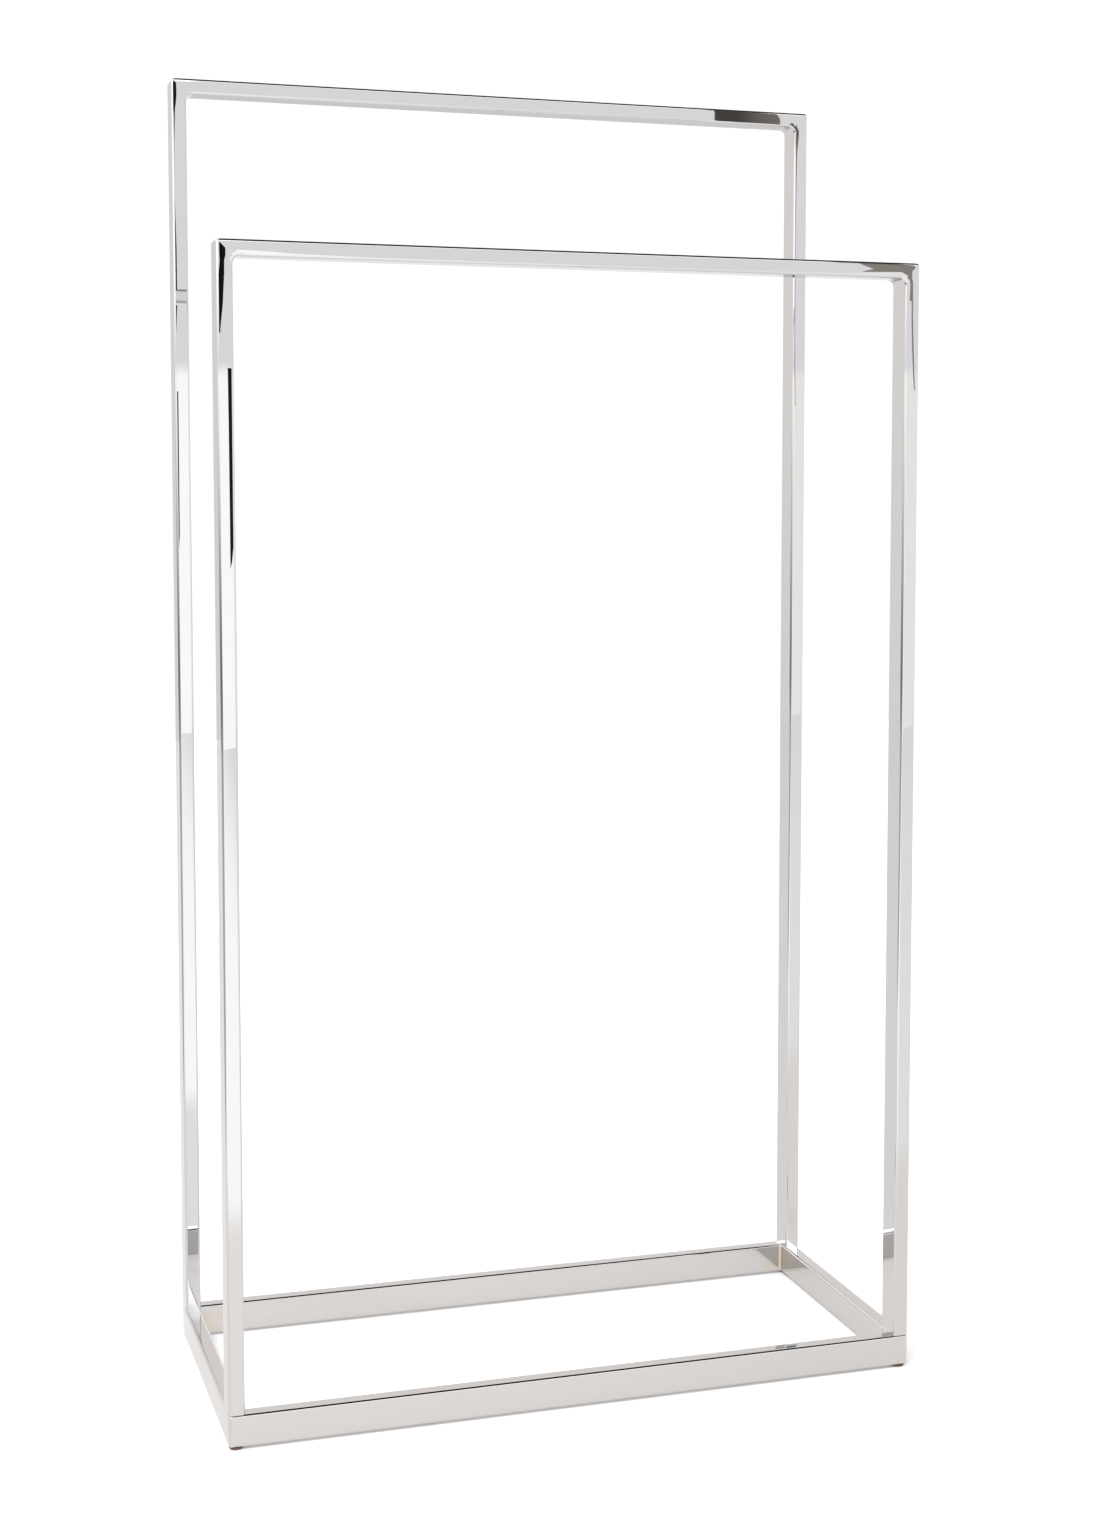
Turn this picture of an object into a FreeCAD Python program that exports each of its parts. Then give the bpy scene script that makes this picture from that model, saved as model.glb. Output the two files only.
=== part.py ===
import FreeCAD, Part
import math
import os

from FreeCAD import Vector

# Free-standing valet stand: two upside-down U frames of flat tube, a low one in front of a
# tall one, bolted to the corners of a welded rectangular base. All lengths are in millimetres.
# +Z is up, the low frame is at the front (-Y), and the origin is on the floor at the centre
# of the footprint.

# Overall size
WIDTH = 450.0
DEPTH = 210.0
REAR_HEIGHT = 850.0
FRONT_HEIGHT = 727.0

# Flat steel tube, used for every member
TUBE_THIN = 10.0
TUBE_WIDE = 20.0
WALL = 1.2
EDGE_RADIUS = 1.5

# Ground and polished corners
TOP_CORNER_RADIUS = 2.0
BASE_CORNER_RADIUS = 1.5
WELD_LEG = 4.0

# Push-in glides under the base corners
FOOT_HEIGHT = 2.0
FOOT_DIAMETER = 9.0
FOOT_EDGE_RADIUS = 0.7
STEM_DIAMETER = 5.0
BARB_DIAMETER = 6.0
BARB_SEAT = 0.6
BARB_LENGTH = 2.4
BARB_TIP_DIAMETER = 3.6

# One M4 screw holds each post, from below, through the side rail into a plug in the tube end
SCREW_INSET = 14.5
SCREW_DIAMETER = 4.0
SCREW_LENGTH = 16.0
HEAD_DIAMETER = 7.0
HEAD_HEIGHT = 4.0
SOCKET_FLATS = 3.0
SOCKET_DEPTH = 2.2
CLEARANCE_DIAMETER = 4.5
ACCESS_DIAMETER = 7.5
WASHER_DIAMETER = 6.8
WASHER_BORE = 4.2
WASHER_THICKNESS = 1.0
WASHER_SPLIT = 0.8
PLUG_HEIGHT = 12.0

# Places worked out from the sizes above
HALF_WIDTH = WIDTH / 2
HALF_DEPTH = DEPTH / 2
BASE_UNDERSIDE = FOOT_HEIGHT
BASE_TOP = BASE_UNDERSIDE + TUBE_WIDE
FOOT_INSET = TUBE_THIN / 2
CUT_MARGIN = 5.0

SIDES = {"left": -1, "right": 1}
ENDS = {"front": -1, "rear": 1}
FRAME_HEIGHTS = {"front": FRONT_HEIGHT, "rear": REAR_HEIGHT}


def rounded_bar(low, high, radius, along):
    """A box between two corners with its four edges along one axis rounded."""
    size = [h - l for l, h in zip(low, high)]
    bar = Part.makeBox(*size, Vector(*low))
    edges = [edge for edge in bar.Edges if abs(edge.tangentAt(0)[along]) > 0.99]
    return bar.makeFillet(radius, edges)


def flat_tube(low, high, along):
    """A hollow tube between two corners, open at both ends of its axis."""
    inner_low = [v + (-CUT_MARGIN if i == along else WALL) for i, v in enumerate(low)]
    inner_high = [v - (-CUT_MARGIN if i == along else WALL) for i, v in enumerate(high)]
    outer = rounded_bar(low, high, EDGE_RADIUS, along)
    inner = rounded_bar(inner_low, inner_high, EDGE_RADIUS - WALL, along)
    return outer.cut(inner)


def prism(points, direction):
    """A closed outline swept straight along a direction."""
    return Part.Face(Part.makePolygon(points + points[:1])).extrude(direction)


def cylinder(diameter, height, x, y, z):
    return Part.makeCylinder(diameter / 2, height, Vector(x, y, z))


def foot_place(side, end):
    """Centre of a glide, on the middle of the base's mitred corner."""
    return side * (HALF_WIDTH - FOOT_INSET), end * (HALF_DEPTH - FOOT_INSET)


def screw_place(side, end):
    """Axis of the screw under a post, inboard of the glide."""
    return side * (HALF_WIDTH - TUBE_THIN / 2), end * (HALF_DEPTH - SCREW_INSET)


def stem_holes():
    """The four round holes in the base's bottom wall that the glides push into."""
    holes = []
    for side in SIDES.values():
        for end in ENDS.values():
            x, y = foot_place(side, end)
            holes.append(cylinder(STEM_DIAMETER, WALL, x, y, BASE_UNDERSIDE))
    return Part.makeCompound(holes)


def base_outline():
    """The base's plan shape with its outer corners rounded, as a block."""
    low = (-HALF_WIDTH, -HALF_DEPTH, BASE_UNDERSIDE)
    high = (HALF_WIDTH, HALF_DEPTH, BASE_TOP)
    return rounded_bar(low, high, BASE_CORNER_RADIUS, 2)


def base_cross_rail(end):
    """Front or rear rail of the base, standing on edge, with 45 degree mitres."""
    outer = end * HALF_DEPTH
    inner = end * (HALF_DEPTH - TUBE_THIN)
    low = (-HALF_WIDTH, min(outer, inner), BASE_UNDERSIDE)
    high = (HALF_WIDTH, max(outer, inner), BASE_TOP)
    mitre = prism(
        [
            Vector(-HALF_WIDTH, outer, BASE_UNDERSIDE),
            Vector(HALF_WIDTH, outer, BASE_UNDERSIDE),
            Vector(HALF_WIDTH - TUBE_THIN, inner, BASE_UNDERSIDE),
            Vector(-HALF_WIDTH + TUBE_THIN, inner, BASE_UNDERSIDE),
        ],
        Vector(0, 0, TUBE_WIDE),
    )
    rail = flat_tube(low, high, 0).common(mitre).common(base_outline())
    return rail.cut(stem_holes())


def base_side_rail(side):
    """Left or right rail of the base, mitred, with the holes for its two screws."""
    outer = side * HALF_WIDTH
    inner = side * (HALF_WIDTH - TUBE_THIN)
    low = (min(outer, inner), -HALF_DEPTH, BASE_UNDERSIDE)
    high = (max(outer, inner), HALF_DEPTH, BASE_TOP)
    mitre = prism(
        [
            Vector(outer, -HALF_DEPTH, BASE_UNDERSIDE),
            Vector(outer, HALF_DEPTH, BASE_UNDERSIDE),
            Vector(inner, HALF_DEPTH - TUBE_THIN, BASE_UNDERSIDE),
            Vector(inner, -HALF_DEPTH + TUBE_THIN, BASE_UNDERSIDE),
        ],
        Vector(0, 0, TUBE_WIDE),
    )
    rail = flat_tube(low, high, 1).common(mitre).common(base_outline()).cut(stem_holes())
    for end in ENDS.values():
        x, y = screw_place(side, end)
        rail = rail.cut(cylinder(ACCESS_DIAMETER, WALL, x, y, BASE_UNDERSIDE))
        rail = rail.cut(cylinder(CLEARANCE_DIAMETER, WALL, x, y, BASE_TOP - WALL))
    return rail


def frame_span(end):
    """Lowest and highest Y of a U frame, whose outer face is flush with the base."""
    outer = end * HALF_DEPTH
    inner = end * (HALF_DEPTH - TUBE_WIDE)
    return min(outer, inner), max(outer, inner)


def frame_outline(end, height):
    """A U frame's front shape with its two outer top corners rounded, as a block."""
    y_low, y_high = frame_span(end)
    block = Part.makeBox(WIDTH, y_high - y_low, height, Vector(-HALF_WIDTH, y_low, 0))
    corners = [
        edge for edge in block.Edges
        if abs(edge.tangentAt(0).y) > 0.99 and edge.CenterOfMass.z > height / 2
    ]
    return block.makeFillet(TOP_CORNER_RADIUS, corners)


def post(side, end, height):
    """Upright of a U frame: square at the foot, mitred at the top."""
    y_low, y_high = frame_span(end)
    outer = side * HALF_WIDTH
    inner = side * (HALF_WIDTH - TUBE_THIN)
    low = (min(outer, inner), y_low, BASE_TOP)
    high = (max(outer, inner), y_high, height)
    mitre = prism(
        [
            Vector(outer, y_low, BASE_TOP),
            Vector(outer, y_low, height),
            Vector(inner, y_low, height - TUBE_THIN),
            Vector(inner, y_low, BASE_TOP),
        ],
        Vector(0, TUBE_WIDE, 0),
    )
    return flat_tube(low, high, 2).common(mitre).common(frame_outline(end, height))


def weld_fillet(side, end, height):
    """Hollow-ground weld in the inner corner between a post and its top rail."""
    y_low, y_high = frame_span(end)
    y_start = y_low + EDGE_RADIUS
    width = y_high - y_low - 2 * EDGE_RADIUS
    x = side * (HALF_WIDTH - TUBE_THIN)
    z = height - TUBE_THIN
    corner = Vector(x, y_start, z)
    on_rail = Vector(x - side * WELD_LEG, y_start, z)
    on_post = Vector(x, y_start, z - WELD_LEG)
    reach = WELD_LEG * (1 - math.sqrt(0.5))
    middle = Vector(x - side * reach, y_start, z - reach)
    edges = [
        Part.LineSegment(on_post, corner).toShape(),
        Part.LineSegment(corner, on_rail).toShape(),
        Part.Arc(on_rail, middle, on_post).toShape(),
    ]
    return Part.Face(Part.Wire(edges)).extrude(Vector(0, width, 0))


def top_rail(end, height):
    """Hanging rail of a U frame: mitred at both ends, with its two ground welds."""
    y_low, y_high = frame_span(end)
    low = (-HALF_WIDTH, y_low, height - TUBE_THIN)
    high = (HALF_WIDTH, y_high, height)
    mitre = prism(
        [
            Vector(-HALF_WIDTH, y_low, height),
            Vector(HALF_WIDTH, y_low, height),
            Vector(HALF_WIDTH - TUBE_THIN, y_low, height - TUBE_THIN),
            Vector(-HALF_WIDTH + TUBE_THIN, y_low, height - TUBE_THIN),
        ],
        Vector(0, TUBE_WIDE, 0),
    )
    rail = flat_tube(low, high, 0).common(mitre).common(frame_outline(end, height))
    welds = [weld_fillet(side, end, height) for side in SIDES.values()]
    return rail.fuse(welds)


def threaded_plug(side, end):
    """Steel block welded into the foot of a post, tapped for the screw."""
    y_low, y_high = frame_span(end)
    x = side * (HALF_WIDTH - TUBE_THIN / 2)
    half = TUBE_THIN / 2 - WALL
    low = (x - half, y_low + WALL, BASE_TOP)
    high = (x + half, y_high - WALL, BASE_TOP + PLUG_HEIGHT)
    hole_x, hole_y = screw_place(side, end)
    block = rounded_bar(low, high, EDGE_RADIUS - WALL, 2)
    return block.cut(cylinder(SCREW_DIAMETER, PLUG_HEIGHT, hole_x, hole_y, BASE_TOP))


def seat_height():
    """Underside of the spring washer, where the screw's head bears."""
    return BASE_TOP - WALL - WASHER_THICKNESS


def socket_screw(side, end):
    """M4 socket head screw, head down, with its hexagon socket open to below."""
    x, y = screw_place(side, end)
    z = seat_height()
    head = cylinder(HEAD_DIAMETER, HEAD_HEIGHT, x, y, z - HEAD_HEIGHT)
    shank = cylinder(SCREW_DIAMETER, SCREW_LENGTH, x, y, z)
    corner = SOCKET_FLATS / math.sqrt(3)
    hexagon = [
        Vector(
            x + corner * math.cos(math.radians(60 * i)),
            y + corner * math.sin(math.radians(60 * i)),
            z - HEAD_HEIGHT,
        )
        for i in range(6)
    ]
    return head.fuse(shank).cut(prism(hexagon, Vector(0, 0, SOCKET_DEPTH)))


def spring_washer(side, end):
    """Split washer between the screw's head and the underside of the base's top wall."""
    x, y = screw_place(side, end)
    z = seat_height()
    ring = cylinder(WASHER_DIAMETER, WASHER_THICKNESS, x, y, z)
    ring = ring.cut(cylinder(WASHER_BORE, WASHER_THICKNESS, x, y, z))
    split_y = y if end < 0 else y - WASHER_DIAMETER
    split = Part.makeBox(
        WASHER_SPLIT, WASHER_DIAMETER, WASHER_THICKNESS, Vector(x - WASHER_SPLIT / 2, split_y, z)
    )
    return ring.cut(split)


def glide(side, end):
    """Soft foot: a low round pad with a barbed stem through the base's bottom wall."""
    x, y = foot_place(side, end)
    pad = cylinder(FOOT_DIAMETER, FOOT_HEIGHT, x, y, 0)
    floor_edge = [edge for edge in pad.Edges if edge.BoundBox.ZMax < FOOT_HEIGHT / 2]
    pad = pad.makeFillet(FOOT_EDGE_RADIUS, floor_edge)
    stem = cylinder(STEM_DIAMETER, WALL + BARB_SEAT, x, y, BASE_UNDERSIDE)
    barb_base = BASE_UNDERSIDE + WALL
    collar = cylinder(BARB_DIAMETER, BARB_SEAT, x, y, barb_base)
    tip = Part.makeCone(
        BARB_DIAMETER / 2, BARB_TIP_DIAMETER / 2, BARB_LENGTH, Vector(x, y, barb_base + BARB_SEAT)
    )
    return pad.fuse([stem, collar, tip])


def all_parts():
    """Every piece of the stand, by name."""
    parts = {}
    for end_name, end in ENDS.items():
        height = FRAME_HEIGHTS[end_name]
        parts[f"base_{end_name}_rail"] = base_cross_rail(end)
        parts[f"{end_name}_top_rail"] = top_rail(end, height)
        for side_name, side in SIDES.items():
            corner = f"{end_name}_{side_name}"
            parts[f"{corner}_post"] = post(side, end, height)
            parts[f"{corner}_threaded_plug"] = threaded_plug(side, end)
            parts[f"{corner}_screw"] = socket_screw(side, end)
            parts[f"{corner}_spring_washer"] = spring_washer(side, end)
            parts[f"{corner}_foot"] = glide(side, end)
    for side_name, side in SIDES.items():
        parts[f"base_{side_name}_rail"] = base_side_rail(side)
    return parts


os.makedirs("parts", exist_ok=True)
for name, shape in all_parts().items():
    piece = shape.removeSplitter()
    if not piece.isValid() or len(piece.Solids) != 1:
        raise RuntimeError(f"{name} is not one valid solid")
    piece.Solids[0].exportStep(f"parts/{name}.step")
    box = piece.BoundBox
    print(f"{name}: {piece.Volume:.0f} mm3, z {box.ZMin:.1f} to {box.ZMax:.1f}")
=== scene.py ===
import math

import bmesh
import bpy
from mathutils import Matrix, Vector, noise


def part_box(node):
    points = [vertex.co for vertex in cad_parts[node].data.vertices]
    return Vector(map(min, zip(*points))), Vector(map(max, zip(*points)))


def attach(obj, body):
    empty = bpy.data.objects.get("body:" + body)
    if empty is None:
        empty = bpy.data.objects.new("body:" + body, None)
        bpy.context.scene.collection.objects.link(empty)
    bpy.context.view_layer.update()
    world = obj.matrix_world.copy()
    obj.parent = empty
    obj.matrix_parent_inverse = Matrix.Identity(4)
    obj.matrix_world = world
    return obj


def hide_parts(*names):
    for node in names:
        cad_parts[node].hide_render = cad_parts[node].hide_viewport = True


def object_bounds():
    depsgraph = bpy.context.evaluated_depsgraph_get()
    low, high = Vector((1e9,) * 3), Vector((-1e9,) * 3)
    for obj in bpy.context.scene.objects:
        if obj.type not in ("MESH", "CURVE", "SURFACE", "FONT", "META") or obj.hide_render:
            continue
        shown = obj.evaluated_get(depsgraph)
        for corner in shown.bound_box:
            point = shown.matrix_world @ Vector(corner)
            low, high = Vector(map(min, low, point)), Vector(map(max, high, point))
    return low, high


# A chrome valet stand: two upside-down U frames of polished flat tube on a rectangular base.
# Everything is in metres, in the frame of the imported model: +Z up, low frame at the front (-Y).

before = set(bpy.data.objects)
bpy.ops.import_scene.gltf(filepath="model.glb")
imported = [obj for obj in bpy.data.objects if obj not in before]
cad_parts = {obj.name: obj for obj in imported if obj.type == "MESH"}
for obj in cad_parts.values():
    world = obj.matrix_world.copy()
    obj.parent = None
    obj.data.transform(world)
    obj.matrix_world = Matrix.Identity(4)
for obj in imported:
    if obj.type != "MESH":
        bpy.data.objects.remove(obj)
CAD_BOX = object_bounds()

MM = 0.001

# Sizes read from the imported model
HIGH = CAD_BOX[1]
HALF_WIDTH = HIGH.x
HALF_DEPTH = HIGH.y
BASE_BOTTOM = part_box("base_front_rail")[0].z
BASE_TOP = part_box("base_front_rail")[1].z
RAIL_LOW, RAIL_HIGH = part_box("base_front_rail")
THIN = RAIL_HIGH.y - RAIL_LOW.y
WIDE = BASE_TOP - BASE_BOTTOM
HEIGHT = {end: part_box(f"{end}_top_rail")[1].z for end in ("front", "rear")}
SIDES = {"left": -1, "right": 1}
ENDS = {"front": -1, "rear": 1}

# Tube section and polished corners
WALL = 1.2 * MM
EDGE_RADIUS = 1.5 * MM
TOP_CORNER_RADIUS = 2.0 * MM
BASE_CORNER_RADIUS = 1.5 * MM
WELD_LEG = 4.0 * MM
BASE_WELD_LEG = 1.6 * MM
ARC_STEPS = 12
FACE_STEPS = 8
CROWN = {"front": 0.022 * MM, "rear": 0.004 * MM, "base": 0.012 * MM}
CORNER_CROWN = {"front": 0.100 * MM, "rear": 0.056 * MM, "base": 0.0}
CORNER_CROWN_REACH = {"front": 34.0 * MM, "rear": 20.0 * MM, "base": 1.0 * MM}
TINT_REACH = 22 * MM
TINT_FULL = 2 * MM

# Holes in the base, and what fits them
STEM_DIAMETER = 5.0 * MM
ACCESS_DIAMETER = 7.5 * MM
CLEARANCE_DIAMETER = 4.5 * MM
LOWER_WALL = (BASE_BOTTOM - WALL, BASE_BOTTOM + 1.5 * WALL)
UPPER_WALL = (BASE_TOP - 1.5 * WALL, BASE_TOP + WALL)
FOOT_RADIUS = 4.5 * MM
FOOT_DOME_RADIUS = 1.6 * MM
FOOT_TOP_RADIUS = 0.35 * MM
RECESS_DEPTH = 0.35 * MM
RECESS_RADIUS = 1.1 * MM
RECESS_MOUTH = 1.4 * MM
SOCKET_FLATS = 3.0 * MM
SOCKET_DEPTH = 2.2 * MM
SOCKET_POINT = 0.4 * MM
SOCKET_MOUTH = 2.0 * MM
HEAD_HEIGHT = 4.0 * MM
HEAD_CHAMFER = 0.45 * MM
SHANK_RADIUS = 2.0 * MM
PLAIN_SHANK = 2.4 * MM
KNURL_DEPTH = 0.10 * MM
THREAD_PITCH = 0.7 * MM
THREAD_DEPTH = 0.38 * MM
THREAD_RUN_OUT = 0.6 * MM
TIP_RADIUS = 1.3 * MM
STEM_PLAY = 0.02 * MM
BARB_RADIUS = 3.0 * MM
BARB_LENGTH = 0.6 * MM
BARB_END_RADIUS = 1.9 * MM
TURN_STEPS = 72

# Rings of mesh along a tube
CORNER_ZONE = 9.0 * MM
CORNER_STEPS = 14
WAVE_ZONE = 90.0 * MM
WAVE_STEP = 2.0 * MM
PLAIN_STEP = 12.0 * MM
SETTLING_ROUNDS = 12

# Polishing waves: height and length of the ripple, strongest beside the welds
RIPPLE_HEIGHT = 0.020 * MM
RIPPLE_LENGTH = 14.0 * MM
RIPPLE_REACH = 45.0 * MM
RIPPLE_FLOOR = 0.12
RIPPLE_OFFSET = Vector((7.3, 1.9, 4.1))
CALM_BY_MITRE = 10.0 * MM
CALM_BY_FOOT = 20.0 * MM

# Shading: edges sharper than this stay sharp
TUBE_SHARP_ANGLE = 38.0
TURNED_SHARP_ANGLE = 34.0

# Studio, as brightness seen in the chrome
# WARM, WARM_WHITE and the level behind the stand are painted light: tints and levels of the floor's
# glow in mirror rays
WARM = (1.0, 0.945, 0.90)
WARM_WHITE = (1.0, 0.98, 0.965)
PAPER_LEVEL = 0.98
PAINTED_GLOW_BEHIND = 1.06
UNLIT_LEVEL = 0.26
WALL_LEVEL = 1.19
BOX_LEVEL = 1.9
STRIP_LEVEL = 3.4
CEILING_LEVEL = 0.02
OVERHEAD_LEVEL = 1.55
FLOOR_LIGHT = 1.20
BACKDROP_LEVEL = 1.05
KEY_LIGHT_PLACE = (-1.3, -1.6, 2.6)
KEY_LIGHT_TARGET = (0.0, 0.1, 0.0)
KEY_LIGHT_SIZE = 0.9
KEY_LIGHT_POWER = 48.0

# Camera
CAMERA_PLACE = (-0.42825, -1.48771, 0.57949)
CAMERA_YAW = -0.32030
CAMERA_PITCH = 0.07694
CAMERA_ROLL = 0.00236
SENSOR = 36.0
FOCAL_LENGTH = 55.140
CAMERA_SHIFT = (-0.05066, -0.05931)


# ---------------------------------------------------------------- node trees

class Graph:
    """A short way to write a node tree."""

    def __init__(self, tree):
        self.tree = tree
        tree.nodes.clear()

    def node(self, kind, inputs=None, **settings):
        made = self.tree.nodes.new(kind)
        for key, value in settings.items():
            setattr(made, key, value)
        for key, value in (inputs or {}).items():
            self.feed(made.inputs[key], value)
        return made

    def feed(self, socket, value):
        if isinstance(value, bpy.types.NodeSocket):
            self.tree.links.new(value, socket)
        else:
            socket.default_value = value

    def math(self, operation, *values):
        made = self.node("ShaderNodeMath", operation=operation)
        for socket, value in zip(made.inputs, values):
            self.feed(socket, value)
        return made.outputs[0]

    def ramp(self, value, low, high, out_low=0.0, out_high=1.0):
        """Smooth step from out_low to out_high as value goes from low to high."""
        made = self.node("ShaderNodeMapRange", interpolation_type="SMOOTHSTEP")
        for key, number in zip(
            ("Value", "From Min", "From Max", "To Min", "To Max"),
            (value, low, high, out_low, out_high),
        ):
            self.feed(made.inputs[key], number)
        return made.outputs["Result"]

    def inside(self, value, low, high, blur):
        """1 where value is between low and high, with soft ends."""
        rise = self.ramp(value, low - blur, low + blur)
        fall = self.ramp(value, high - blur, high + blur, 1.0, 0.0)
        return self.math("MULTIPLY", rise, fall)

    def both(self, a, b):
        return self.math("MULTIPLY", a, b)

    def mix(self, factor, a, b):
        made = self.node("ShaderNodeMix", data_type="RGBA")
        self.feed(made.inputs["Factor"], factor)
        for key, colour in (("A", a), ("B", b)):
            socket = [s for s in made.inputs if s.name == key and s.type == "RGBA"][0]
            self.feed(socket, colour)
        return [s for s in made.outputs if s.type == "RGBA"][0]

    def split(self, vector):
        made = self.node("ShaderNodeSeparateXYZ", {"Vector": vector})
        return made.outputs["X"], made.outputs["Y"], made.outputs["Z"]

    def noise(self, vector, scale, detail=2.0, stretch=(1.0, 1.0, 1.0)):
        mapped = self.node("ShaderNodeMapping", {"Vector": vector, "Scale": stretch})
        made = self.node(
            "ShaderNodeTexNoise",
            {"Vector": mapped.outputs["Vector"], "Scale": scale, "Detail": detail},
        )
        return made.outputs["Fac"]


def grey(value, tint=(1.0, 1.0, 1.0)):
    return tuple(value * t for t in tint) + (1.0,)


def material(name):
    made = bpy.data.materials.new(name)
    made.use_nodes = True
    graph = Graph(made.node_tree)
    shader = graph.node("ShaderNodeBsdfPrincipled")
    output = graph.node("ShaderNodeOutputMaterial")
    graph.feed(output.inputs["Surface"], shader.outputs["BSDF"])
    place = graph.node("ShaderNodeTexCoord").outputs["Object"]
    return made, graph, shader, place


# ---------------------------------------------------------------- objects

def placed(name, data):
    """An object in the scene with this data."""
    made = bpy.data.objects.new(name, data)
    bpy.context.scene.collection.objects.link(made)
    return made


def mesh_object(name, mesh):
    """An object from a bmesh, which is freed."""
    data = bpy.data.meshes.new(name)
    mesh.to_mesh(data)
    mesh.free()
    return placed(name, data)


# ---------------------------------------------------------------- materials

def chrome():
    """Bright nickel-chrome plate: buffing hairlines, faint haze, and amber by the base's welds."""
    made, graph, shader, place = material("polished_chrome")
    x, y, z = graph.split(place)
    haze = graph.noise(place, 60.0, 3.0)
    hairlines = graph.noise(place, 900.0, 2.0, (1.0, 1.0, 0.02))
    cross_lines = graph.noise(place, 900.0, 2.0, (0.02, 1.0, 1.0))
    lines = graph.math("MULTIPLY", hairlines, cross_lines)

    inner_x = HALF_WIDTH - THIN
    inner_y = HALF_DEPTH - THIN
    across = graph.math("ABSOLUTE", x)
    along = graph.math("ABSOLUTE", y)
    near_x = graph.ramp(across, inner_x - TINT_REACH, inner_x - TINT_FULL)
    near_y = graph.ramp(along, inner_y - TINT_REACH, inner_y - TINT_FULL)
    facing_in = graph.both(
        graph.ramp(across, inner_x + 0.1 * MM, inner_x + 0.9 * MM, 1.0, 0.0),
        graph.ramp(along, inner_y + 0.1 * MM, inner_y + 0.9 * MM, 1.0, 0.0),
    )
    low_down = graph.ramp(z, BASE_TOP - 1.5 * MM, BASE_TOP, 1.0, 0.0)
    weld = graph.both(graph.both(graph.both(near_x, near_y), facing_in), low_down)
    patchy = graph.both(weld, graph.ramp(graph.noise(place, 140.0), 0.42, 0.62))
    plate = graph.mix(haze, grey(0.550, (1.0, 0.994, 0.997)), grey(0.566, (1.0, 0.992, 0.995)))
    colour = graph.mix(graph.both(patchy, 0.35), plate, (0.62, 0.47, 0.27, 1.0))

    rough = graph.ramp(haze, 0.35, 0.75, 0.008, 0.018)
    rough = graph.math("ADD", rough, graph.ramp(lines, 0.30, 0.50, 0.0, 0.012))
    rough = graph.math("ADD", rough, graph.both(patchy, 0.05))
    bump = graph.node(
        "ShaderNodeBump", {"Strength": 0.004, "Distance": 0.00002, "Height": lines}
    )
    graph.feed(shader.inputs["Base Color"], colour)
    graph.feed(shader.inputs["Roughness"], rough)
    graph.feed(shader.inputs["Normal"], bump.outputs["Normal"])
    shader.inputs["Metallic"].default_value = 1.0
    shader.inputs["Specular Tint"].default_value = grey(0.86)
    return made


def plain_steel():
    """Machined mild steel for the plugs inside the posts."""
    made, graph, shader, place = material("machined_steel")
    cuts = graph.noise(place, 2600.0, 2.0, (0.05, 0.05, 1.0))
    stain = graph.noise(place, 260.0, 4.0)
    graph.feed(
        shader.inputs["Base Color"],
        graph.mix(stain, (0.36, 0.35, 0.34, 1.0), (0.50, 0.48, 0.46, 1.0)),
    )
    graph.feed(shader.inputs["Roughness"], graph.ramp(cuts, 0.3, 0.7, 0.28, 0.46))
    bump = graph.node("ShaderNodeBump", {"Strength": 0.2, "Distance": 0.00005, "Height": cuts})
    graph.feed(shader.inputs["Normal"], bump.outputs["Normal"])
    shader.inputs["Metallic"].default_value = 1.0
    return made


def zinc_steel():
    """Bright zinc plate on the screws and spring washers, with a faint spangle."""
    made, graph, shader, place = material("zinc_plated_steel")
    spangle = graph.node(
        "ShaderNodeTexVoronoi", {"Vector": place, "Scale": 1800.0}
    ).outputs["Distance"]
    cloud = graph.noise(place, 420.0, 3.0)
    graph.feed(
        shader.inputs["Base Color"],
        graph.mix(cloud, (0.52, 0.54, 0.56, 1.0), (0.66, 0.66, 0.63, 1.0)),
    )
    graph.feed(shader.inputs["Roughness"], graph.ramp(spangle, 0.0, 0.6, 0.22, 0.38))
    bump = graph.node("ShaderNodeBump", {"Strength": 0.15, "Distance": 0.00003, "Height": cloud})
    graph.feed(shader.inputs["Normal"], bump.outputs["Normal"])
    shader.inputs["Metallic"].default_value = 1.0
    return made


def rubber():
    """Brown moulded rubber with a fine matt grain."""
    made, graph, shader, place = material("brown_rubber")
    grain = graph.noise(place, 3200.0, 3.0)
    mottle = graph.noise(place, 380.0, 2.0)
    graph.feed(
        shader.inputs["Base Color"],
        graph.mix(mottle, (0.070, 0.034, 0.022, 1.0), (0.130, 0.062, 0.040, 1.0)),
    )
    graph.feed(shader.inputs["Roughness"], graph.ramp(grain, 0.3, 0.7, 0.52, 0.74))
    bump = graph.node("ShaderNodeBump", {"Strength": 0.3, "Distance": 0.00008, "Height": grain})
    graph.feed(shader.inputs["Normal"], bump.outputs["Normal"])
    return made


# ---------------------------------------------------------------- tubes

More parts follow.
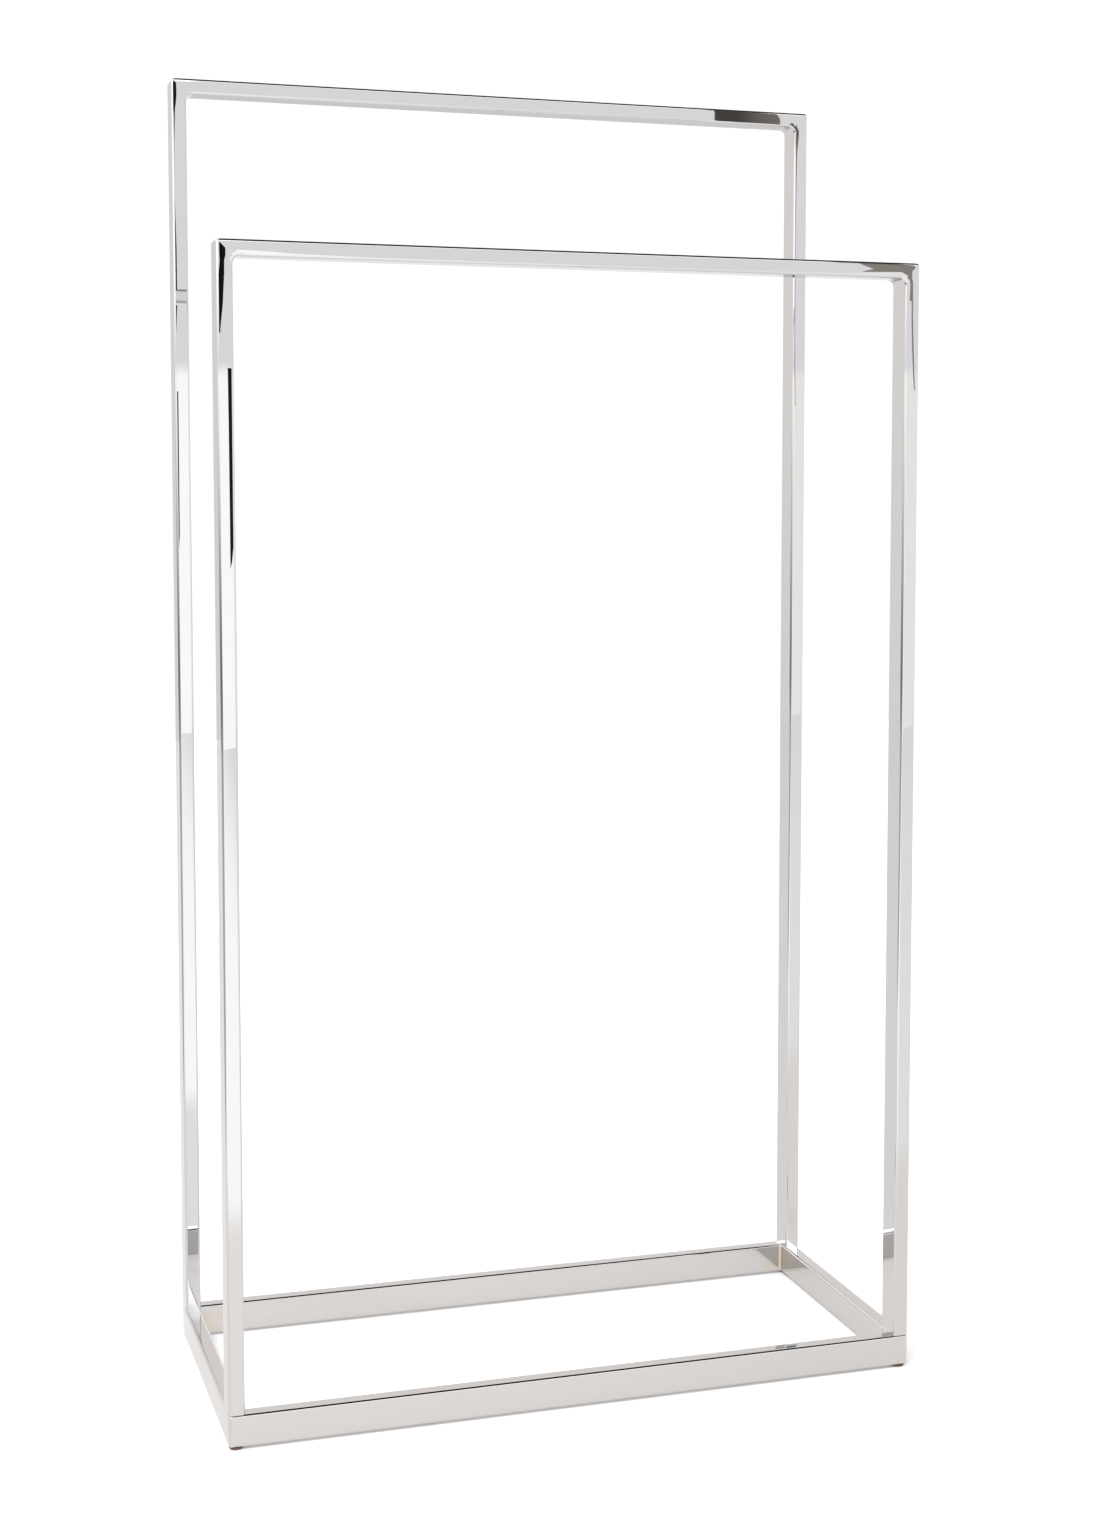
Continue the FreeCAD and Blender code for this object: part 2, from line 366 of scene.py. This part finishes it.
def outline(inset, radius):
    """Points (b, v, out_b, out_v) round the tube's section.

    b runs across the thin way from the inner face, v along the wide way from the middle, and
    out_b, out_v point outwards with the share of the crown that the point takes.
    """
    half_b = THIN / 2 - inset
    half_v = WIDE / 2 - inset
    points = []
    for quarter in range(4):
        start = quarter * math.pi / 2
        sign_b = 1 if quarter in (0, 3) else -1
        sign_v = 1 if quarter in (0, 1) else -1
        centre = (sign_b * (half_b - radius), sign_v * (half_v - radius))
        for step in range(ARC_STEPS + 1):
            angle = start + math.pi / 2 * step / ARC_STEPS
            points.append(
                (centre[0] + radius * math.cos(angle), centre[1] + radius * math.sin(angle), 0, 0)
            )
        on_thin_face = quarter in (0, 2)
        span = 2 * ((half_b if on_thin_face else half_v) - radius)
        normal = (math.cos(start + math.pi / 2), math.sin(start + math.pi / 2))
        last = points[-1]
        for step in range(1, FACE_STEPS):
            share = step / FACE_STEPS
            lift = 4 * share * (1 - share)
            points.append(
                (
                    last[0] - normal[1] * span * share,
                    last[1] + normal[0] * span * share,
                    normal[0] * lift,
                    normal[1] * lift,
                )
            )
    return [(b + THIN / 2, v, out_b, out_v) for b, v, out_b, out_v in points]


def ease(value, low, high):
    """Smooth step from 0 to 1."""
    share = min(1.0, max(0.0, (value - low) / (high - low)))
    return share * share * (3 - 2 * share)


class Member:
    """One straight tube that ends in a mitre at the outer corner, length from its start."""

    def __init__(self, length, corner_radius, weld_leg, kind, place):
        self.length = length
        self.corner_radius = corner_radius
        self.weld_leg = weld_leg
        self.kind = kind
        self.outer = outline(0.0, EDGE_RADIUS)
        self.inner = outline(WALL, EDGE_RADIUS - WALL)
        self.place = place

    def weld_lift(self, t, b):
        """How far the hollow weld stands proud of the inner face at distance t."""
        into = t - (self.length - THIN - self.weld_leg)
        if self.weld_leg == 0 or into <= 0:
            return 0.0
        into = min(into, self.weld_leg * 0.9)
        lift = self.weld_leg - math.sqrt(self.weld_leg ** 2 - into ** 2)
        return lift * (1 - ease(b, EDGE_RADIUS * 0.5, THIN - EDGE_RADIUS))

    def corner_point(self, share, b):
        """(t, b) of a section point as share goes from 0 to 1 across the corner zone."""
        begin = self.length - THIN - CORNER_ZONE
        centre = THIN - self.corner_radius
        bend = max(0.0, b - centre)
        if bend > 0:
            straight = self.length - self.corner_radius - begin
            turn = bend * math.pi / 4
            travel = share * (straight + turn)
            if travel <= straight:
                return begin + travel, b
            angle = (travel - straight) / bend
            return (
                self.length - self.corner_radius + bend * math.sin(angle),
                centre + bend * math.cos(angle),
            )
        finish = self.length - THIN + b
        for _ in range(SETTLING_ROUNDS):
            finish = self.length - THIN + b - self.weld_lift(finish, b)
        t = begin + (finish - begin) * share
        return t, b - self.weld_lift(t, b)

    def stations(self, fine):
        """Distances of the plain rings from the start to the corner zone."""
        begin = self.length - THIN - CORNER_ZONE
        spots = []
        t = begin
        while t > WAVE_STEP:
            step = WAVE_STEP if fine and begin - t < WAVE_ZONE else PLAIN_STEP
            t -= step
            if t > WAVE_STEP:
                spots.append(t)
        return [0.0] + spots[::-1]

    def ring(self, section, t):
        return [(t, b, v, out_b, out_v) for b, v, out_b, out_v in section]

    def half(self, section, fine):
        """Rings of (t, b, v) from the start to the mitre."""
        rings = [self.ring(section, t) for t in self.stations(fine)]
        steps = CORNER_STEPS if fine else 1
        for step in range(steps + 1):
            share = step / steps
            ring = []
            for b, v, out_b, out_v in section:
                t, moved = self.corner_point(share, b)
                ring.append((t, moved, v, out_b, out_v))
            rings.append(ring)
        return rings

    def polished(self, t, b, v, out_b, out_v):
        """A point with the polisher's crowned faces and waves added."""
        reach = self.length - THIN - abs(t)
        crown = CROWN[self.kind]
        crown += CORNER_CROWN[self.kind] * math.exp(
            -max(0.0, reach) / CORNER_CROWN_REACH[self.kind]
        )
        v += out_v * crown
        calm = ease(reach, 0, CALM_BY_MITRE)
        b += out_b * crown * calm
        fade = math.exp(-max(0.0, reach) / RIPPLE_REACH) + RIPPLE_FLOOR
        is_post = self.length > HALF_WIDTH
        if is_post:
            fade *= ease(t, 0.0, CALM_BY_FOOT)
        spot = Vector(self.place(t, b, v)) / RIPPLE_LENGTH
        height = RIPPLE_HEIGHT * fade
        push_v = height * noise.noise(spot) * (1 if v > 0 else -1)
        push_b = height * noise.noise(spot + RIPPLE_OFFSET) * calm
        push_b *= 1 if b > THIN / 2 else -1
        return t, b + push_b, v + push_v


def mirrored(rings):
    """The other half of a rail, in order from its far mitre to its middle."""
    return [[(-point[0], *point[1:]) for point in ring] for ring in rings[:0:-1]]


def build(name, member, two_ends):
    """Mesh of a tube: outer skin, bore and the two cut ends, closed."""
    skin = member.half(member.outer, True)
    bore = member.half(member.inner, False)
    if two_ends:
        skin = mirrored(skin) + skin
        bore = mirrored(bore) + bore
    mesh = bmesh.new()

    def lay(rings, waves):
        laid = []
        for ring in rings:
            points = [member.polished(*p) if waves else p[:3] for p in ring]
            laid.append([mesh.verts.new(member.place(*p)) for p in points])
        for near, far in zip(laid, laid[1:]):
            join(near, far)
        return laid

    def join(near, far):
        for i in range(len(near)):
            j = (i + 1) % len(near)
            mesh.faces.new((near[i], near[j], far[j], far[i]))

    outside = lay(skin, True)
    inside = lay(bore, False)
    join(outside[0], inside[0])
    join(outside[-1], inside[-1])
    bmesh.ops.recalc_face_normals(mesh, faces=mesh.faces)
    return mesh_object(name, mesh)


def drilled(piece, holes):
    """Round holes through the piece: (diameter, x, y, lowest z, highest z) each."""
    for diameter, x, y, z_low, z_high in holes:
        cutter_mesh = bmesh.new()
        bmesh.ops.create_cone(
            cutter_mesh, cap_ends=True, segments=48, radius1=diameter / 2, radius2=diameter / 2,
            depth=z_high - z_low, matrix=Matrix.Translation((x, y, (z_low + z_high) / 2)),
        )
        cutter = mesh_object("cutter", cutter_mesh)
        cut = piece.modifiers.new("hole", "BOOLEAN")
        cut.operation = "DIFFERENCE"
        cut.solver = "EXACT"
        cut.object = cutter
        bpy.context.view_layer.update()
        shape = piece.evaluated_get(bpy.context.evaluated_depsgraph_get())
        data = bpy.data.meshes.new_from_object(shape)
        piece.modifiers.clear()
        piece.data = data
        bpy.data.objects.remove(cutter)


def smooth(piece, angle=TUBE_SHARP_ANGLE):
    """Smooth shading that stays sharp at real edges and flat on flat faces."""
    for polygon in piece.data.polygons:
        polygon.use_smooth = True
    piece.data.set_sharp_from_angle(angle=math.radians(angle))
    weighted = piece.modifiers.new("face_weighted_normals", "WEIGHTED_NORMAL")
    weighted.keep_sharp = True
    weighted.weight = 50


def finish_piece(piece, node, look):
    piece.data.materials.clear()
    piece.data.materials.append(look)
    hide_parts(node)
    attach(piece, "root")


def frame_middle(end):
    return ENDS[end] * (HALF_DEPTH - WIDE / 2)


def make_post(side, end, look):
    outer = SIDES[side]
    middle = frame_middle(end)

    def place(t, b, v):
        return outer * (HALF_WIDTH - THIN + b), middle + v, BASE_TOP + t

    member = Member(HEIGHT[end] - BASE_TOP, TOP_CORNER_RADIUS, WELD_LEG, end, place)
    name = f"{end}_{side}_post"
    piece = build(f"{name}_tube", member, False)
    smooth(piece)
    finish_piece(piece, name, look)


def make_top_rail(end, look):
    middle = frame_middle(end)

    def place(t, b, v):
        return t, middle + v, HEIGHT[end] - THIN + b

    member = Member(HALF_WIDTH, TOP_CORNER_RADIUS, WELD_LEG, end, place)
    name = f"{end}_top_rail"
    piece = build(f"{name}_tube", member, True)
    smooth(piece)
    finish_piece(piece, name, look)


def foot_place(side, end):
    return SIDES[side] * (HALF_WIDTH - THIN / 2), ENDS[end] * (HALF_DEPTH - THIN / 2)


def screw_axis(side, end):
    low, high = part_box(f"{end}_{side}_screw")
    return (low.x + high.x) / 2, (low.y + high.y) / 2


def stem_hole(side, end):
    x, y = foot_place(side, end)
    return STEM_DIAMETER, x, y, *LOWER_WALL


def screw_holes(side, end):
    """The large hole for the screw's head below and the small one for its shank above."""
    x, y = screw_axis(side, end)
    return [(ACCESS_DIAMETER, x, y, *LOWER_WALL), (CLEARANCE_DIAMETER, x, y, *UPPER_WALL)]


def make_base_cross_rail(end, look):
    middle = (BASE_BOTTOM + BASE_TOP) / 2

    def place(t, b, v):
        return t, ENDS[end] * (HALF_DEPTH - THIN + b), middle + v

    member = Member(HALF_WIDTH, BASE_CORNER_RADIUS, BASE_WELD_LEG, "base", place)
    name = f"base_{end}_rail"
    piece = build(f"{name}_tube", member, True)
    drilled(piece, [stem_hole(side, end) for side in SIDES])
    smooth(piece)
    finish_piece(piece, name, look)


def make_base_side_rail(side, look):
    middle = (BASE_BOTTOM + BASE_TOP) / 2

    def place(t, b, v):
        return SIDES[side] * (HALF_WIDTH - THIN + b), t, middle + v

    member = Member(HALF_DEPTH, BASE_CORNER_RADIUS, BASE_WELD_LEG, "base", place)
    name = f"base_{side}_rail"
    piece = build(f"{name}_tube", member, True)
    drilled(piece, [stem_hole(side, end) for end in ENDS])
    for end in ENDS:
        drilled(piece, screw_holes(side, end))
    smooth(piece)
    finish_piece(piece, name, look)


# ---------------------------------------------------------------- feet and screws

def arc(radius, height, bend, start, finish, steps):
    """Points of a quarter round in a lathe outline, about the centre (radius, height)."""
    return [
        (
            radius + bend * math.cos(start + (finish - start) * i / steps),
            height + bend * math.sin(start + (finish - start) * i / steps),
        )
        for i in range(steps + 1)
    ]


def turned(name, rings, x, y, z):
    """A lathe piece from (radius, height) rings; a radius may be a function of the angle."""
    mesh = bmesh.new()
    laid = []
    for radius, height in rings:
        ring = []
        for i in range(TURN_STEPS):
            angle = 2 * math.pi * i / TURN_STEPS
            r = radius(angle) if callable(radius) else radius
            point = (x + r * math.cos(angle), y + r * math.sin(angle), z + height)
            ring.append(mesh.verts.new(point))
        laid.append(ring)
    for near, far in zip(laid, laid[1:]):
        for i in range(TURN_STEPS):
            j = (i + 1) % TURN_STEPS
            mesh.faces.new((near[i], near[j], far[j], far[i]))
    mesh.faces.new(laid[0])
    mesh.faces.new(laid[-1])
    bmesh.ops.recalc_face_normals(mesh, faces=mesh.faces)
    return mesh_object(name, mesh)


def make_foot(side, end, look):
    """Push-in glide: domed pad with a moulded ring under it, stem and barb."""
    name = f"{end}_{side}_foot"
    low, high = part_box(name)
    x, y = foot_place(side, end)
    pad = BASE_BOTTOM - low.z
    top = high.z - low.z
    down = -math.pi / 2
    rings = [(0.5 * MM, RECESS_DEPTH), (RECESS_RADIUS, RECESS_DEPTH), (RECESS_MOUTH, 0.0)]
    rings += arc(FOOT_RADIUS - FOOT_DOME_RADIUS, FOOT_DOME_RADIUS, FOOT_DOME_RADIUS, down, 0, 10)
    rings += arc(FOOT_RADIUS - FOOT_TOP_RADIUS, pad - FOOT_TOP_RADIUS, FOOT_TOP_RADIUS, 0, -down, 5)
    stem = STEM_DIAMETER / 2 - STEM_PLAY
    barb = pad + WALL
    rings += [(stem, pad), (stem, barb), (BARB_RADIUS, barb + STEM_PLAY)]
    rings += [(BARB_RADIUS, barb + BARB_LENGTH), (BARB_END_RADIUS, top - 0.15 * MM)]
    rings += [(BARB_END_RADIUS - 0.2 * MM, top)]
    piece = turned(f"{name}_glide", rings, x, y, low.z)
    smooth(piece, TURNED_SHARP_ANGLE)
    finish_piece(piece, name, look)


def make_screw(side, end, look):
    """Socket head screw, head down: knurled head, hexagon socket and a rolled thread."""
    name = f"{end}_{side}_screw"
    low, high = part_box(name)
    x, y = screw_axis(side, end)
    head_radius = (high.x - low.x) / 2
    head = HEAD_HEIGHT
    shank = SHANK_RADIUS

    def hexagon(angle):
        sixth = math.pi / 3
        return SOCKET_FLATS / 2 / math.cos((angle + sixth / 2) % sixth - sixth / 2)

    def knurl(angle):
        return head_radius - KNURL_DEPTH * (0.5 + 0.5 * math.cos(TURN_STEPS / 2 * angle))

    rings = [(0.3 * MM, SOCKET_DEPTH + SOCKET_POINT), (hexagon, SOCKET_DEPTH)]
    rings += [(hexagon, 0.15 * MM), (SOCKET_MOUTH, 0.0), (head_radius - HEAD_CHAMFER, 0.0)]
    rings += [(knurl, HEAD_CHAMFER), (knurl, head - 0.3 * MM), (head_radius - 0.25 * MM, head)]
    length = high.z - low.z
    height = head + PLAIN_SHANK
    rings += [(shank, head), (shank, height)]
    while height + THREAD_PITCH < length - THREAD_RUN_OUT:
        rings.append((shank - THREAD_DEPTH, height + THREAD_PITCH / 2))
        height += THREAD_PITCH
        rings.append((shank, height))
    rings += [(shank - THREAD_DEPTH, length - 0.2 * MM), (TIP_RADIUS, length)]
    piece = turned(f"{name}_m4", rings, x, y, low.z)
    smooth(piece, TURNED_SHARP_ANGLE)
    finish_piece(piece, name, look)


# ---------------------------------------------------------------- studio

def floor():
    """Pale floor. Mirrors see it glow with painted light: warm near the stand, brighter further
    off.
    """
    half = 4.0
    mesh = bpy.data.meshes.new("floor")
    mesh.from_pydata(
        [(-half, -half, 0), (half, -half, 0), (half, half, 0), (-half, half, 0)],
        [],
        [(0, 1, 2, 3)],
    )
    made = placed("floor", mesh)
    look = bpy.data.materials.new("pale_floor")
    look.use_nodes = True
    graph = Graph(look.node_tree)
    x, y, _ = graph.split(graph.node("ShaderNodeTexCoord").outputs["Object"])
    # painted light for mirror rays: an emission brighter far off, warm near the stand and pale
    # behind it
    far_off = graph.ramp(y, -0.62, -0.50, 1.0, 0.0)
    bright = graph.mix(graph.ramp(x, 0.0, 0.5), grey(1.70), grey(1.20, (1.0, 1.0, 0.985)))
    near = graph.mix(graph.ramp(x, -0.20, 0.40), grey(1.23, WARM), grey(1.07, WARM))
    pale = grey(PAINTED_GLOW_BEHIND, WARM_WHITE)
    near = graph.mix(graph.ramp(x, -0.245, -0.215), pale, near)
    seen = graph.mix(graph.ramp(y, 0.10, 0.24), near, pale)
    seen = graph.mix(far_off, seen, bright)
    # painted unlit grey off the paper, seen only in the chrome
    painted_unlit_off_paper = graph.both(
        graph.ramp(x, -1.0, -0.8, 1.0, 0.0), graph.ramp(y, 0.7, 1.1, 1.0, 0.0)
    )
    seen = graph.mix(painted_unlit_off_paper, seen, grey(UNLIT_LEVEL))
    glow = graph.node("ShaderNodeEmission", {"Color": seen, "Strength": 1.0})
    shaded = graph.node("ShaderNodeBsdfDiffuse", {"Color": grey(PAPER_LEVEL)})
    # mirror rays see 70% painted glow and 30% real diffuse shading
    painted_glow_and_lit_look = graph.node("ShaderNodeMixShader", {"Fac": 0.30})
    graph.feed(painted_glow_and_lit_look.inputs[1], glow.outputs["Emission"])
    graph.feed(painted_glow_and_lit_look.inputs[2], shaded.outputs["BSDF"])
    own_look = graph.node("ShaderNodeBsdfDiffuse", {"Color": grey(PAPER_LEVEL)})
    path = graph.node("ShaderNodeLightPath")
    blend = graph.node("ShaderNodeMixShader", {"Fac": path.outputs["Is Glossy Ray"]})
    graph.feed(blend.inputs[1], own_look.outputs["BSDF"])
    graph.feed(blend.inputs[2], painted_glow_and_lit_look.outputs["Shader"])
    output = graph.node("ShaderNodeOutputMaterial")
    graph.feed(output.inputs["Surface"], blend.outputs["Shader"])
    mesh.materials.append(look)


def card(name, y, corners, axis, start, end, first, last):
    """Upright dark shape in front of the stand, seen only in the chrome: it glows with its colour,
    a painted reflection.

    Its colour goes from first to last between start and end along X or Z.
    """
    mesh = bpy.data.meshes.new(name)
    mesh.from_pydata([(x, y, z) for x, z in corners], [], [tuple(range(len(corners)))])
    made = placed(name, mesh)
    look = bpy.data.materials.new(name)
    look.use_nodes = True
    graph = Graph(look.node_tree)
    x, _, z = graph.split(graph.node("ShaderNodeTexCoord").outputs["Object"])
    colour = graph.mix(graph.ramp(x if axis == "X" else z, start, end), first, last)
    glow = graph.node("ShaderNodeEmission", {"Color": colour, "Strength": 1.0})
    output = graph.node("ShaderNodeOutputMaterial")
    graph.feed(output.inputs["Surface"], glow.outputs["Emission"])
    mesh.materials.append(look)
    made.visible_camera = False
    made.visible_diffuse = False
    made.visible_shadow = False


def studio():
    """White studio round the stand, as its mirrors see it, by azimuth and elevation in degrees."""
    world = bpy.data.worlds.new("studio")
    bpy.context.scene.world = world
    world.use_nodes = True
    graph = Graph(world.node_tree)
    x, y, z = graph.split(graph.node("ShaderNodeTexCoord").outputs["Generated"])
    to_front = graph.math("MULTIPLY", y, -1.0)
    azimuth = graph.math("DEGREES", graph.math("ARCTAN2", x, to_front))
    elevation = graph.math("DEGREES", graph.math("ARCSINE", z))
    rise = graph.math("DEGREES", graph.math("ARCTAN2", z, to_front))

    # ahead of the stand: floor's far edge, brighter on the left, and the wall above it
    wall = grey(WALL_LEVEL, (1.0, 1.0, 1.03))
    horizon = graph.mix(graph.ramp(azimuth, 8.0, 24.0), grey(1.70), grey(1.36))
    front = graph.mix(graph.ramp(elevation, 2.7, 3.15), horizon, wall)
    # behind the stand, from the left round to the right
    straight_back = grey(0.95, (1.0, 0.985, 0.965))
    back_left = grey(1.16, (1.0, 0.965, 0.93))
    back_level = graph.mix(graph.ramp(azimuth, -176.0, -155.0), straight_back, back_left)
    right_low = graph.mix(graph.ramp(elevation, -10.0, -5.0), grey(0.88), grey(1.10))
    right_level = graph.mix(graph.ramp(elevation, -3.0, 2.0), right_low, grey(2.05))
    back_level = graph.mix(graph.ramp(azimuth, 100.0, 160.0), back_level, right_level)
    back = graph.mix(graph.ramp(elevation, 6.0, 20.0), back_level, (1.14, 1.08, 1.04, 1.0))
    colour = graph.mix(graph.ramp(y, -0.1, 0.1), front, back)

    # softbox on the left with the unlit room under it
    to_the_left = graph.inside(azimuth, -140.0, -10.0, 5.0)
    left_box = graph.both(
        graph.inside(azimuth, -100.0, -6.0, 5.0), graph.inside(elevation, 4.0, 50.0, 1.5)
    )
    under_box = graph.both(to_the_left, graph.ramp(elevation, -5.0, 4.0, 1.0, 0.0))
    colour = graph.mix(under_box, colour, grey(UNLIT_LEVEL))
    colour = graph.mix(left_box, colour, grey(BOX_LEVEL))
    # lamp strips: a long one ahead and a short one behind on the left
    strip = graph.both(
        graph.inside(elevation, 13.0, 19.5, 1.0), graph.ramp(y, -0.5, -0.3, 1.0, 0.0)
    )
    colour = graph.mix(strip, colour, grey(STRIP_LEVEL))
    side_strip = graph.both(
        graph.inside(azimuth, -163.0, -145.0, 3.0), graph.inside(elevation, 15.0, 19.0, 0.8)
    )
    colour = graph.mix(side_strip, colour, grey(STRIP_LEVEL))
    # dark ceiling on the right, and a panel above and behind the stand
    ceiling = graph.both(
        graph.ramp(elevation, 20.0, 21.5), graph.ramp(rise, 110.0, 116.0, 1.0, 0.0)
    )
    ceiling = graph.both(ceiling, graph.ramp(x, -0.02, 0.05))
    colour = graph.mix(ceiling, colour, grey(CEILING_LEVEL))
    overhead = graph.both(
        graph.inside(rise, 118.0, 142.0, 4.0), graph.ramp(elevation, 14.0, 18.0)
    )
    colour = graph.mix(overhead, colour, grey(OVERHEAD_LEVEL))

    # everything but the mirrors sees a plain white studio
    path = graph.node("ShaderNodeLightPath")
    plain = graph.mix(
        path.outputs["Is Camera Ray"], grey(FLOOR_LIGHT), grey(BACKDROP_LEVEL)
    )
    seen = graph.mix(path.outputs["Is Glossy Ray"], plain, colour)
    light = graph.node("ShaderNodeBackground", {"Color": seen, "Strength": 1.0})
    output = graph.node("ShaderNodeOutputWorld")
    graph.feed(output.inputs["Surface"], light.outputs["Background"])


def key_light():
    """Large soft lamp above the front left, for the faint shadows on the floor."""
    data = bpy.data.lights.new("key_light", "AREA")
    data.shape = "DISK"
    data.size = KEY_LIGHT_SIZE
    data.energy = KEY_LIGHT_POWER
    made = placed("key_light", data)
    made.location = KEY_LIGHT_PLACE
    aim = Vector(KEY_LIGHT_TARGET) - made.location
    made.rotation_euler = aim.to_track_quat("-Z", "Y").to_euler()
    made.visible_glossy = False
    made.visible_camera = False


def camera():
    data = bpy.data.cameras.new("camera")
    data.sensor_fit = "AUTO"
    data.sensor_width = SENSOR
    data.lens = FOCAL_LENGTH
    data.shift_x, data.shift_y = CAMERA_SHIFT
    data.clip_start = 0.01
    data.clip_end = 50.0
    ahead = Vector(
        (
            -math.sin(CAMERA_YAW) * math.cos(CAMERA_PITCH),
            math.cos(CAMERA_YAW) * math.cos(CAMERA_PITCH),
            -math.sin(CAMERA_PITCH),
        )
    )
    level = Vector((math.cos(CAMERA_YAW), math.sin(CAMERA_YAW), 0.0))
    above = level.cross(ahead)
    across = level * math.cos(CAMERA_ROLL) + above * math.sin(CAMERA_ROLL)
    up = above * math.cos(CAMERA_ROLL) - level * math.sin(CAMERA_ROLL)
    turn = Matrix((across, up, -ahead)).transposed().to_4x4()
    made = placed("camera", data)
    made.matrix_world = Matrix.Translation(CAMERA_PLACE) @ turn
    bpy.context.scene.camera = made


camera()
studio()
key_light()
floor()
# glowing cards that paint dark and brown reflections into the chrome
card(
    "dark_figure", -1.29,
    [(-0.17, 0.75), (-0.105, 0.75), (-0.05, 0.81), (-0.05, 0.88), (-0.085, 0.95), (-0.085, 1.5),
     (-0.55, 1.5), (-0.55, 1.04), (-0.17, 1.04)],
    "Z", 1.00, 1.11, grey(0.012), grey(0.02),
)
card(
    "dark_pole", -0.30,
    [(-0.1865, 0.528), (-0.1765, 0.545), (-0.1745, 0.662), (-0.1865, 0.662)],
    "X", -0.1865, -0.1745, (0.035, 0.022, 0.015, 1.0), (0.012, 0.012, 0.014, 1.0),
)
card(
    "brown_stand", -0.86,
    [(0.592, 0.684), (0.603, 0.680), (0.588, 0.74), (0.583, 0.76), (0.582, 0.90), (0.516, 0.90),
     (0.521, 0.85), (0.531, 0.805), (0.516, 0.768), (0.555, 0.768), (0.566, 0.74)],
    "Z", 0.86, 0.97, (0.40, 0.36, 0.33, 1.0), (0.10, 0.085, 0.078, 1.0),
)
card(
    "brown_shelf", -0.86,
    [(0.504, 0.90), (0.582, 0.90), (0.574, 1.4), (0.504, 1.4)],
    "X", 0.525, 0.575, (0.10, 0.085, 0.078, 1.0), (0.27, 0.24, 0.225, 1.0),
)

CHROME = chrome()
STEEL = plain_steel()
ZINC = zinc_steel()
RUBBER = rubber()

for end_name in ENDS:
    make_base_cross_rail(end_name, CHROME)
    make_top_rail(end_name, CHROME)
    for side_name in SIDES:
        make_post(side_name, end_name, CHROME)
for side_name in SIDES:
    make_base_side_rail(side_name, CHROME)

for end_name in ENDS:
    for side_name in SIDES:
        make_foot(side_name, end_name, RUBBER)
        make_screw(side_name, end_name, ZINC)
        for kind, look in (("threaded_plug", STEEL), ("spring_washer", ZINC)):
            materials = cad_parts[f"{end_name}_{side_name}_{kind}"].data.materials
            materials.clear()
            materials.append(look)

scene = bpy.context.scene
scene.view_settings.view_transform = "Standard"

bpy.context.view_layer.update()
